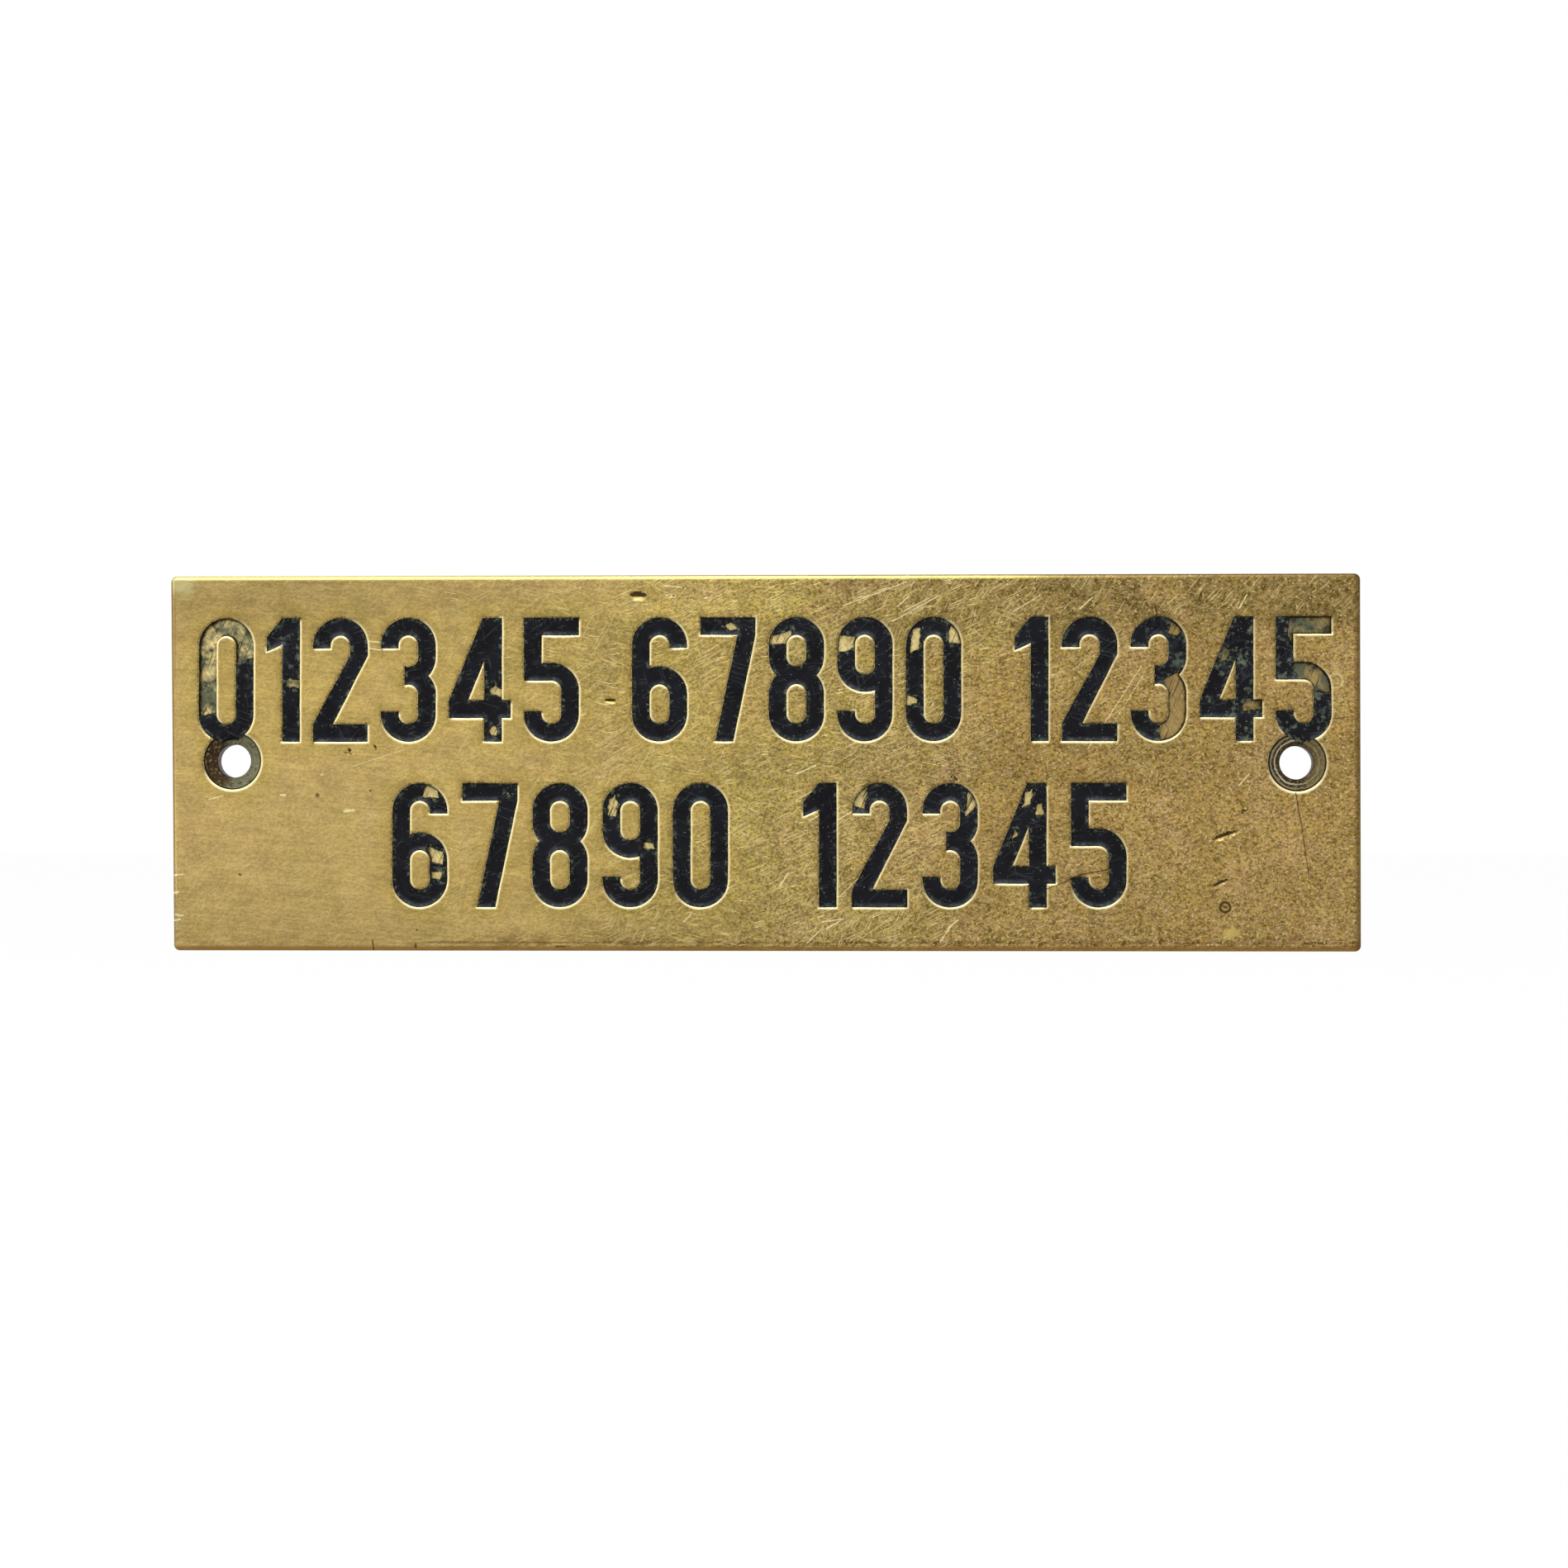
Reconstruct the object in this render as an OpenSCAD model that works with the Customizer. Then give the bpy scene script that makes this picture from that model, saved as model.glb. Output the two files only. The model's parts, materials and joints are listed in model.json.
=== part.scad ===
// Brass plate for the front edge of an instrument shelf, engraved with two rows of plain
// numerals that are filled with black wax. It is drawn as it hangs on its two screws:
// X runs along the plate, Z is up, the back face lies on Y = 0 and the front looks along -Y.

/* [Plate] */
// Length of the plate along its top edge
plate_len = 120.65; // [118:0.05:150]
// Height of the plate
plate_h = 38.1; // [36:0.05:60]
// Thickness of the brass
plate_t = 3.2; // [2.6:0.1:6]
// How far the left end leans in at its foot, as it was sawn
end_lean = 0.4; // [0:0.05:1]
// Radius of the four corners
corner_r = 0.6; // [0.4:0.1:2]

/* [Screw holes] */
// Distance from a hole's centre to the end of the plate
hole_inset = 6.35; // [4.5:0.05:9]
// How far the left hole was drilled above the plate's middle line
left_hole_rise = 0.25; // [0:0.05:0.5]
// Diameter of the clearance hole
hole_d = 3.4; // [2.6:0.1:4]
// Diameter of the countersink at the front face
sink_d = 5.9; // [4.8:0.1:7]
// Included angle of the countersink
sink_angle = 90; // [82:1:100]

/* [Rows] */
// Space from the ends of the upper row to the ends of the plate
upper_margin = 2.9; // [2.3:0.1:5]
// Length of the lower row
lower_len = 74.4; // [70:0.1:90]
// Space between two groups in the upper row
upper_space = 5.4; // [4:0.1:7]
// Space between the two groups in the lower row
lower_space = 7.6; // [4:0.1:9]
// Height of the upper row's middle above the plate's middle
upper_rise = 8.45; // [8:0.05:9]
// Depth of the lower row's middle below the plate's middle
lower_drop = 8.35; // [8:0.05:9]
// How far the lower row sits to the left of the plate's middle
lower_left = 0.4; // [0:0.1:3]

/* [Numerals] */
// Height of a numeral
numeral_h = 12.6; // [11.6:0.1:13.5]
// Width of a numeral
numeral_w = 5.6; // [5:0.1:6]
// Width of the cut stroke
stroke = 1.8; // [1.3:0.1:2]
// Depth of the cut below the front face
cut_depth = 0.8; // [0.5:0.1:1.5]
// Straight run of a stroke past its half-round turn, where it ends
tail = 0.3; // [0:0.1:1]
// Reach of the flag on a 1
flag_reach = 1.6; // [1:0.1:2]
// How far the flag of a 1 drops
flag_drop = 1.9; // [1.2:0.1:2.4]
// Height of the blunt end of that flag
flag_end = 1.5; // [1:0.1:2]
// Straight run down the right side of a 2 before it slants
two_run = 1; // [0.4:0.1:2]
// How far in from its left side a 3 is open
three_open = 2.4; // [2:0.1:2.8]
// Width of a 4
four_w = 6.3; // [5.8:0.1:6.8]
// How far the bar of a 4 runs past its stem
four_run = 0.9; // [0.5:0.1:1.3]
// Height of that bar above the foot
four_rise = 2.4; // [1.8:0.1:3]
// Height of the bowl of a 5
five_bowl = 8; // [7:0.1:8.5]
// Where the foot of a 7 stands, from its left side
seven_foot = 1.5; // [0.8:0.1:2.4]
// Height of the bar in a 3, 6, 8 and 9, above the foot of its bowl
waist = 5.8; // [5:0.1:6]

/* [Wax] */
// How far the wax surface lies below the front face
wax_drop = 0.25; // [0.1:0.05:0.4]

/* [Hidden] */
$fn = 64;
// Cuts run this far past a face, so that no skin is left
over = 1;

// Each row is a list of groups, and each group a list of numerals
upper_groups = [[0, 1, 2, 3, 4, 5], [6, 7, 8, 9, 0], [1, 2, 3, 4, 5]];
lower_groups = [[6, 7, 8, 9, 0], [1, 2, 3, 4, 5]];
upper = flat(upper_groups);
lower = flat(lower_groups);

// Where wax has broken out down to the brass: the numeral's place in its row, and the outline
// of the gap in shares of the numeral's width and height
upper_chips = [
  [1, [[-0.1, 0.2], [0.4, 0.24], [0.42, 0.52], [0.6, 0.52], [0.62, 0.63], [1.1, 0.7], [1.1, 1.1],
    [-0.1, 1.1]]],
  [2, [[0.5, 0.45], [1.1, 0.42], [1.1, 0.5], [0.62, 0.53]]],
  [5, [[0.6, 0.4], [0.72, 0.47], [0.9, 0.41], [0.84, 0.36]]],
  [5, [[0.63, 0.09], [0.7, 0.14], [0.78, 0.12], [0.78, 0.05], [0.68, 0.04]]],
  [8, [[0.4, 0.94], [0.55, 0.97], [0.7, 0.91], [0.52, 0.89]]],
  [9, [[-0.1, 0.85], [0.16, 0.87], [0.42, 0.91], [0.4, 0.82], [0.36, 0.79], [-0.1, 0.77]]],
  [10, [[-0.1, 0.87], [0.36, 0.85], [0.36, 0.77], [0.14, 0.72], [-0.1, 0.71]]],
  [11, [[0.05, 0.7], [0.26, 0.75], [0.28, 0.93], [0.12, 0.9]]],
  [11, [[-0.1, 0.28], [0.2, 0.3], [0.22, 0.35], [-0.1, 0.4]]],
  [11, [[0.76, 0.79], [1.1, 0.78], [1.1, 0.97], [0.78, 0.93]]],
  [14, [[0.66, 0.86], [0.84, 0.84], [0.98, 0.91], [0.74, 1]]],
  [14, [[0.6, 0.5], [0.62, 0.38], [0.62, 0.24], [0.5, 0.1], [0.56, -0.05], [1.1, -0.05], [1.1, 0.53],
    [0.84, 0.56]]],
  [15, [[0.3, 0.62], [0.46, 0.66], [0.5, 0.74], [0.38, 0.76]]],
  [15, [[0.66, 0.24], [1.1, 0.25], [1.1, 0.36], [0.74, 0.35]]],
  [16, [[0.2, 0.86], [0.34, 0.7], [0.3, 0.56], [0.54, 0.47], [0.66, 0.4], [1.1, 0.38], [1.1, 1.1],
    [0.3, 1.1]]],
];
lower_chips = [
  [1, [[0.5, 0.89], [0.86, 0.87], [0.76, 1], [0.62, 1]]],
  [1, [[0.66, 0.36], [0.92, 0.34], [0.94, 0.44], [0.62, 0.5]]],
  [1, [[0.64, 0.24], [0.66, 0.3], [0.9, 0.29], [0.88, 0.21]]],
  [2, [[0.74, 0.9], [0.82, 0.95], [0.86, 0.91]]],
  [4, [[0.06, 0.74], [0.22, 0.72], [0.28, 0.8], [0.24, 0.93], [0.1, 0.86]]],
  [4, [[0.72, 0.47], [0.94, 0.46], [0.92, 0.52], [0.74, 0.53]]],
  [7, [[-0.1, 0.82], [0.22, 0.79], [0.3, 0.93], [0.24, 1.1], [-0.1, 1.1]]],
  [8, [[0.76, 0.72], [0.92, 0.78], [1.1, 0.92], [0.8, 0.93]]],
  [9, [[0.44, 0.79], [0.62, 0.83], [0.66, 0.97], [0.52, 0.93]]],
  [9, [[0.66, 0.72], [0.82, 0.75], [0.8, 0.84], [0.68, 0.83]]],
  [9, [[0.24, 0.52], [0.42, 0.58], [0.36, 0.64]]],
];

half_len = plate_len / 2;
half_h = plate_h / 2;
hole_x = half_len - hole_inset;
sink_depth = (sink_d - hole_d) / 2 / tan(sink_angle / 2);
bowl_r = numeral_w / 2;
upper_lefts = lefts(upper_groups, upper_margin - half_len, plate_len - 2 * upper_margin, upper_space);
lower_lefts = lefts(lower_groups, -lower_len / 2 - lower_left, lower_len, lower_space);
upper_foot = upper_rise - numeral_h / 2;
lower_foot = -lower_drop - numeral_h / 2;

function wax_name(row, i) = str("wax_", row, i < 10 ? "_0" : "_", i);
// Width along X of a stroke that slants over a run while it climbs a rise
function slant_width(run, rise) = stroke * norm([run, rise]) / rise;
function numeral_width(n) = n == 1 ? flag_reach + stroke : n == 4 ? four_w : numeral_w;
function flat(groups) = [for (g = groups) each g];
function total(v, i = 0) = i < len(v) ? v[i] + total(v, i + 1) : 0;

// Left sides of a row's numerals. What its length leaves over is shared out evenly as the gaps
// inside the groups.
function lefts(groups, left, row_len, space) =
  let (
    widths = [for (n = flat(groups)) numeral_width(n)],
    group = [for (g = [0 : len(groups) - 1]) each [for (n = groups[g]) g]],
    gap = (row_len - total(widths) - space * (len(groups) - 1)) / (len(widths) - len(groups))
  )
  [for (i = [0 : len(widths) - 1])
    left + total(widths) - total(widths, i) + gap * (i - group[i]) + space * group[i]];

// Cuts one corner round: c is the arc's centre, a and b point from it to the two sides
module corner_cut(c, a, b) difference() {
  polygon([c, c + corner_r * a, c + 2 * corner_r * (a + b), c + corner_r * b]);
  translate(c) circle(corner_r);
}

// Outline of the plate, with its right end square and its left end leaning
module outline() {
  lean = atan(end_lean / plate_h);
  function end_x(y) = end_lean * (0.5 - y / plate_h) - half_len;
  left_out = [-cos(lean), -sin(lean)];
  difference() {
    polygon([[end_x(half_h), half_h], [half_len, half_h], [half_len, -half_h], [end_x(-half_h), -half_h]]);
    for (up = [-1, 1]) {
      y = up * (half_h - corner_r);
      corner_cut([half_len - corner_r, y], [1, 0], [0, up]);
      corner_cut([end_x(y) + corner_r / cos(lean), y], left_out, [0, up]);
    }
  }
}

// Clearance hole with its countersink, drawn with the plate's back on z = 0
module screw_hole() {
  translate([0, 0, -over]) cylinder(d = hole_d, h = plate_t + 2 * over);
  translate([0, 0, plate_t - sink_depth])
    cylinder(d1 = hole_d, d2 = sink_d + 2 * over * tan(sink_angle / 2), h = sink_depth + over);
}

module screw_holes() {
  translate([-hole_x, left_hole_rise, 0]) screw_hole();
  translate([hole_x, 0, 0]) screw_hole();
}

// Upright oval with half-round ends
module oval(w, h) {
  translate([w / 2, w / 2]) circle(w / 2);
  translate([w / 2, h - w / 2]) circle(w / 2);
  translate([0, w / 2]) square([w, h - w]);
}

// Ring of one stroke round an oval counter
module bowl(h) difference() {
  oval(numeral_w, h);
  translate([stroke, stroke]) oval(numeral_w - 2 * stroke, h - 2 * stroke);
}

// Every numeral stands with its foot on y = 0 and its left side on x = 0
module zero() bowl(numeral_h);

module one() {
  flag_root = numeral_h - flag_drop - flag_end * stroke / (flag_reach + stroke);
  polygon([
    [flag_reach, 0], [flag_reach, flag_root], [0, numeral_h - flag_drop - flag_end],
    [0, numeral_h - flag_drop], [flag_reach, numeral_h], [flag_reach + stroke, numeral_h],
    [flag_reach + stroke, 0]
  ]);
}

module two() {
  turn = numeral_h - bowl_r;
  slant = turn - two_run;
  slant_w = slant_width(numeral_w - stroke, slant - stroke);
  difference() {
    bowl(numeral_h);
    translate([bowl_r, -over]) square([bowl_r + over, slant + over]);
    translate([-over, -over]) square([bowl_r + over, turn - tail + over]);
  }
  polygon([
    [numeral_w, turn], [numeral_w - stroke, turn], [numeral_w - stroke, slant], [0, stroke], [0, 0],
    [slant_w, stroke], [numeral_w, slant]
  ]);
  square([numeral_w, stroke]);
}

// An 8 whose left sides are open between the tails
module three() difference() {
  eight();
  translate([-over, bowl_r + tail]) square([three_open + over, numeral_h - 2 * (bowl_r + tail)]);
}

module four() {
  stem = four_w - four_run - stroke;
  bar_top = four_rise + stroke;
  slant_w = slant_width(stem, numeral_h - bar_top);
  slope = (numeral_h - bar_top) / (stem + stroke - slant_w);
  difference() {
    polygon([
      [0, four_rise], [0, bar_top], [stem + stroke - slant_w, numeral_h], [stem + stroke, numeral_h],
      [stem + stroke, bar_top], [four_w, bar_top], [four_w, four_rise], [stem + stroke, four_rise],
      [stem + stroke, 0], [stem, 0], [stem, four_rise]
    ]);
    polygon([[slant_w, bar_top], [stem, bar_top + (stem - slant_w) * slope], [stem, bar_top]]);
  }
}

module five() {
  translate([0, numeral_h - stroke]) square([numeral_w, stroke]);
  translate([0, five_bowl - stroke]) square([stroke, numeral_h - five_bowl + stroke]);
  translate([0, five_bowl - stroke]) square([bowl_r, stroke]);
  difference() {
    bowl(five_bowl);
    translate([-over, bowl_r + tail]) square([bowl_r + over, five_bowl]);
  }
}

module six() {
  bowl(waist + stroke);
  difference() {
    bowl(numeral_h);
    translate([bowl_r, 0]) square([bowl_r + over, numeral_h - bowl_r - tail]);
    translate([-over, -over]) square([numeral_w, bowl_r + over]);
  }
}

module seven() {
  bar = numeral_h - stroke;
  slant_w = slant_width(numeral_w - stroke - seven_foot, bar);
  polygon([
    [0, bar], [0, numeral_h], [numeral_w, numeral_h], [numeral_w, bar], [seven_foot + slant_w, 0],
    [seven_foot, 0], [numeral_w - slant_w, bar]
  ]);
}

module eight() {
  bowl(waist + stroke);
  translate([0, waist]) bowl(numeral_h - waist);
}

// A 6 turned upside down
module nine() translate([numeral_w, numeral_h]) rotate(180) six();

module numeral(n) {
  if (n == 0) zero();
  if (n == 1) one();
  if (n == 2) two();
  if (n == 3) three();
  if (n == 4) four();
  if (n == 5) five();
  if (n == 6) six();
  if (n == 7) seven();
  if (n == 8) eight();
  if (n == 9) nine();
}

module plate() color("darkkhaki") rotate([90, 0, 0]) difference() {
  linear_extrude(plate_t) outline();
  translate([0, 0, plate_t - cut_depth]) linear_extrude(cut_depth + over) {
    for (i = [0 : len(upper) - 1]) translate([upper_lefts[i], upper_foot]) numeral(upper[i]);
    for (i = [0 : len(lower) - 1]) translate([lower_lefts[i], lower_foot]) numeral(lower[i]);
  }
  screw_holes();
}

// Wax of numeral n, which stands on the floor of its cut and fills it from wall to wall
module wax(n, left, foot, chips) color("midnightblue") rotate([90, 0, 0]) difference() {
  translate([left, foot, plate_t - cut_depth]) linear_extrude(cut_depth - wax_drop) difference() {
    numeral(n);
    for (c = chips) polygon([for (p = c) [p[0] * numeral_width(n), p[1] * numeral_h]]);
  }
  screw_holes();
}

// Outlines of the gaps in the wax of numeral i of a row
function chips_of(chips, i) = [for (c = chips) if (c[0] == i) c[1]];

plate();
for (i = [1 : len(upper)])
  wax(upper[i - 1], upper_lefts[i - 1], upper_foot, chips_of(upper_chips, i));
for (i = [1 : len(lower)])
  wax(lower[i - 1], lower_lefts[i - 1], lower_foot, chips_of(lower_chips, i));
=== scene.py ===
# Engraved brass shelf plate with black wax in its cuts, dressed over the CAD frame.
import bpy
import bmesh
import json
from math import cos, pi, radians, sin
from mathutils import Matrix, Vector, noise
from mathutils.kdtree import KDTree

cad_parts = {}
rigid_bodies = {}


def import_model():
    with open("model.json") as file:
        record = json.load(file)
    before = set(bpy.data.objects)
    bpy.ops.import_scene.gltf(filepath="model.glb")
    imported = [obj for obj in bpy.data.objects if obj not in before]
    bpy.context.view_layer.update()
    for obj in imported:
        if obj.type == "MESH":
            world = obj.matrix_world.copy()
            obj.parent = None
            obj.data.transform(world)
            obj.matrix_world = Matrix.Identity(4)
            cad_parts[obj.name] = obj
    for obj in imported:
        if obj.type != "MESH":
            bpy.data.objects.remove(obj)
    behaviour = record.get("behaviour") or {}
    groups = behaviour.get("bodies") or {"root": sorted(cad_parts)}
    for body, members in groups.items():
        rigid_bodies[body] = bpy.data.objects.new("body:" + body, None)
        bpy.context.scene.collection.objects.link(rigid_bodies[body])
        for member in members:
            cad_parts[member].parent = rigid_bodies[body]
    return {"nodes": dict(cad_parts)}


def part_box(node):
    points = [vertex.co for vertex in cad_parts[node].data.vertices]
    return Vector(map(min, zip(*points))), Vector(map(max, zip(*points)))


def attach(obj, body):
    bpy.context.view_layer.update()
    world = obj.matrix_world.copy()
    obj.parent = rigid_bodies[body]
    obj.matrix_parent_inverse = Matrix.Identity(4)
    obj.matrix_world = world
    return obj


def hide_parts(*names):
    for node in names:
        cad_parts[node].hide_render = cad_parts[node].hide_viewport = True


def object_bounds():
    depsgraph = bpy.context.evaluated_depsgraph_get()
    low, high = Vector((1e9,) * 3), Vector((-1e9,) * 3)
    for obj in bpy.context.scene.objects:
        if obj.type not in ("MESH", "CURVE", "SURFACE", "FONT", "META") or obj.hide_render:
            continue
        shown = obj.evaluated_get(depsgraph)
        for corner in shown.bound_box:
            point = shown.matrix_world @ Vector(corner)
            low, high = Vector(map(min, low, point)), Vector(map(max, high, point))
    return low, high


for stray in list(bpy.data.objects):
    bpy.data.objects.remove(stray)
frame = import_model()
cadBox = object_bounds()
mm = 0.001
noise.seed_set(1)  # the clock gives the seed otherwise, and each run would be a little different
# What the CAD gives, in mm: the holes stand along and up from the plate's middle
sizes = {"halfLength": 60.325, "halfHeight": 19.05, "holes": [(-53.975, 0.25), (53.975, 0)]}
layers = {  # y in mm between the back (0), the cut floors (-2.4), the wax (-2.95) and the face (-3.2)
    "back": -0.01, "cuts": -2.3, "foot": -2.45, "floor": -2.5, "wax": -2.8, "waxTop": -2.9, "dented": -3,
    "face": -3.1, "level": -3.15,
}
print("frame loaded")

# Camera, a little right of the plate's middle, where the photo was taken from
camera = {"eye": (0.0165, -0.390, -0.008), "aim": (0.0021, 0, -0.0021), "lens": 87.8}

lens = bpy.data.cameras.new("camera")
lens.lens = camera["lens"]
lens.sensor_width = 36
lens.clip_start = 0.01
eye = bpy.data.objects.new("camera", lens)
eye.location = camera["eye"]
eye.rotation_euler = (Vector(camera["aim"]) - Vector(camera["eye"])).to_track_quat("-Z", "Y").to_euler()
bpy.context.scene.collection.objects.link(eye)
bpy.context.scene.camera = eye
bpy.context.scene.view_settings.view_transform = "Standard"


# Node helpers
def paint(red, green, blue):  # a colour as a screen shows it, 0 to 255
    return [c / 3294.6 if c < 11 else ((c / 255 + 0.055) / 1.055) ** 2.4 for c in (red, green, blue)] + [1]


def addNode(tree, kind, values=(), **settings):
    made = tree.nodes.new("ShaderNode" + kind)
    for name, value in settings.items():
        setattr(made, name, value)
    for name, value in dict(values).items():
        if isinstance(value, bpy.types.NodeSocket):
            tree.links.new(value, made.inputs[name])
        else:
            made.inputs[name].default_value = value
    return made


def calc(tree, operation, *values):
    return addNode(tree, "Math", enumerate(values), operation=operation).outputs[0]


def times(tree, first, second):
    return calc(tree, "MULTIPLY", first, second)


def vectorCalc(tree, operation, first, second):
    values = {0: first, "Scale" if operation == "SCALE" else 1: second}
    made = addNode(tree, "VectorMath", values, operation=operation)
    return made.outputs["Value" if operation in ("DISTANCE", "DOT_PRODUCT") else "Vector"]


def fade(tree, value, low, high, start=0, end=1):  # eases from start at the low value to end at the high one
    values = {"Value": value, "From Min": low, "From Max": high, "To Min": start, "To Max": end}
    return addNode(tree, "MapRange", values, interpolation_type="SMOOTHSTEP").outputs["Result"]


def blendColour(tree, share, under, over):
    return addNode(tree, "Mix", {0: share, 6: under, 7: over}, data_type="RGBA").outputs[2]


def shadeColour(tree, colour, amount):
    return vectorCalc(tree, "SCALE", colour, amount)


def cloud(tree, place, size, detail=2, rough=0.5, turn=0, seed=0):  # noise with patches of this size in mm
    if not isinstance(size, tuple):
        size = (size, size, size)
    values = {"Vector": place, "Location": (seed * 73, seed * 31, 0), "Rotation": (0, 0, turn), "Scale": size}
    moved = addNode(tree, "Mapping", values, vector_type="TEXTURE").outputs[0]
    values = {"Vector": moved, "Scale": 1, "Detail": detail, "Roughness": rough}
    return addNode(tree, "TexNoise", values).outputs["Fac"]


def inMillimetres(tree):  # object coordinates in mm: along the plate, up the plate, out of its face
    coords = addNode(tree, "TexCoord").outputs["Object"]
    values = {"Vector": coords, "Rotation": (-pi / 2, 0, 0), "Scale": (1000, 1000, 1000)}
    return addNode(tree, "Mapping", values).outputs[0]


def attribute(tree, name):
    return addNode(tree, "Attribute", attribute_name=name).outputs["Fac"]


def newMaterial(name, constants):
    material = bpy.data.materials.new(name)
    material.use_nodes = True
    shader = material.node_tree.nodes["Principled BSDF"]
    for socket, value in constants.items():
        shader.inputs[socket].default_value = value
    return material, material.node_tree, shader


def newGroup(name, inputs):
    group = bpy.data.node_groups.new(name, "ShaderNodeTree")
    for label in inputs:
        kind = "NodeSocketVector" if label in ("Place", "Start", "End") else "NodeSocketFloat"
        group.interface.new_socket(label, in_out="INPUT", socket_type=kind)
    group.interface.new_socket("Mask", in_out="OUTPUT", socket_type="NodeSocketFloat")
    return group, group.nodes.new("NodeGroupInput").outputs, group.nodes.new("NodeGroupOutput").inputs


def useGroup(tree, group, **values):
    return addNode(tree, "Group", values, node_tree=group).outputs["Mask"]


def scratchLayer(tree, place, turn, length, width, share, bend):  # turn in degrees, length and width in mm
    values = {"Turn": radians(turn), "Length": length, "Width": width, "Share": share, "Bend": bend}
    return useGroup(tree, scratches, Place=place, **values)


def dress(tree, shader, colour, rough, height, reach):  # reach is the bump's full height in metres
    tree.links.new(colour, shader.inputs["Base Color"])
    tree.links.new(rough, shader.inputs["Roughness"])
    bump = addNode(tree, "Bump", {"Height": height, "Distance": reach, "Strength": 1})
    tree.links.new(bump.outputs[0], shader.inputs["Normal"])


# Scratches that all lie one way: a stretched cell pattern, in which a share of the cells keep their streak
scratches, given, made = newGroup("scratches", ("Place", "Turn", "Length", "Width", "Share", "Bend"))
tree = scratches
sway = addNode(tree, "TexNoise", {"Vector": given["Place"], "Scale": 0.35, "Detail": 1}).outputs["Color"]
sway = vectorCalc(tree, "SUBTRACT", sway, (0.5, 0.5, 0.5))
sway = vectorCalc(tree, "SCALE", sway, given["Bend"])
swayed = vectorCalc(tree, "ADD", given["Place"], sway)
values = {"Vector": swayed, "Angle": given["Turn"]}
turned = addNode(tree, "VectorRotate", values, rotation_type="Z_AXIS").outputs[0]
cell = addNode(tree, "CombineXYZ", {0: given["Length"], 1: given["Width"], 2: 1000}).outputs[0]
cells = vectorCalc(tree, "DIVIDE", turned, cell)
streak = addNode(tree, "TexVoronoi", {"Vector": cells, "Scale": 0.7}, voronoi_dimensions="2D")
lot = addNode(tree, "SeparateColor", {0: streak.outputs["Color"]})
kept = calc(tree, "LESS_THAN", lot.outputs[0], given["Share"])
body = fade(tree, streak.outputs["Distance"], 0.35, 0.12)
strength = times(tree, body, calc(tree, "MULTIPLY_ADD", lot.outputs[1], 0.7, 0.3))
tree.links.new(times(tree, strength, kept), made["Mask"])

# One hairline from a start to an end, or a round spot where the two are the same
hairline, given, made = newGroup("hairline", ("Place", "Start", "End", "Width"))
tree = hairline
flatPlace = vectorCalc(tree, "MULTIPLY", given["Place"], (1, 1, 0))
fromStart = vectorCalc(tree, "SUBTRACT", flatPlace, given["Start"])
run = vectorCalc(tree, "SUBTRACT", given["End"], given["Start"])
along = vectorCalc(tree, "DOT_PRODUCT", fromStart, run)
whole = vectorCalc(tree, "DOT_PRODUCT", run, run)
share = addNode(tree, "Clamp", {0: calc(tree, "DIVIDE", along, whole)}).outputs[0]
nearest = vectorCalc(tree, "SCALE", run, share)
away = vectorCalc(tree, "DISTANCE", fromStart, nearest)
ragged = times(tree, calc(tree, "SUBTRACT", cloud(tree, given["Place"], 0.4, 2), 0.5), given["Width"])
away = calc(tree, "MULTIPLY_ADD", ragged, 1.4, away)
half = times(tree, given["Width"], 0.5)
outer = times(tree, given["Width"], 0.9)
tree.links.new(addNode(tree, "MapRange", {0: away, 1: half, 2: outer, 3: 1, 4: 0}).outputs[0], made["Mask"])

# Patches of stain with ragged borders
stain, given, made = newGroup("stain", ("Place", "Size", "Share", "Edge"))
tree = stain
sized = calc(tree, "DIVIDE", 1, given["Size"])
scaled = vectorCalc(tree, "SCALE", given["Place"], sized)
values = {"Vector": scaled, "Scale": 1, "Detail": 5, "Roughness": 0.62}
broad = addNode(tree, "TexNoise", values).outputs["Fac"]
limit = calc(tree, "SUBTRACT", 0.72, times(tree, given["Share"], 0.44))
top = calc(tree, "ADD", limit, given["Edge"])
tree.links.new(addNode(tree, "MapRange", {0: broad, 1: limit, 2: top}).outputs[0], made["Mask"])


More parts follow.
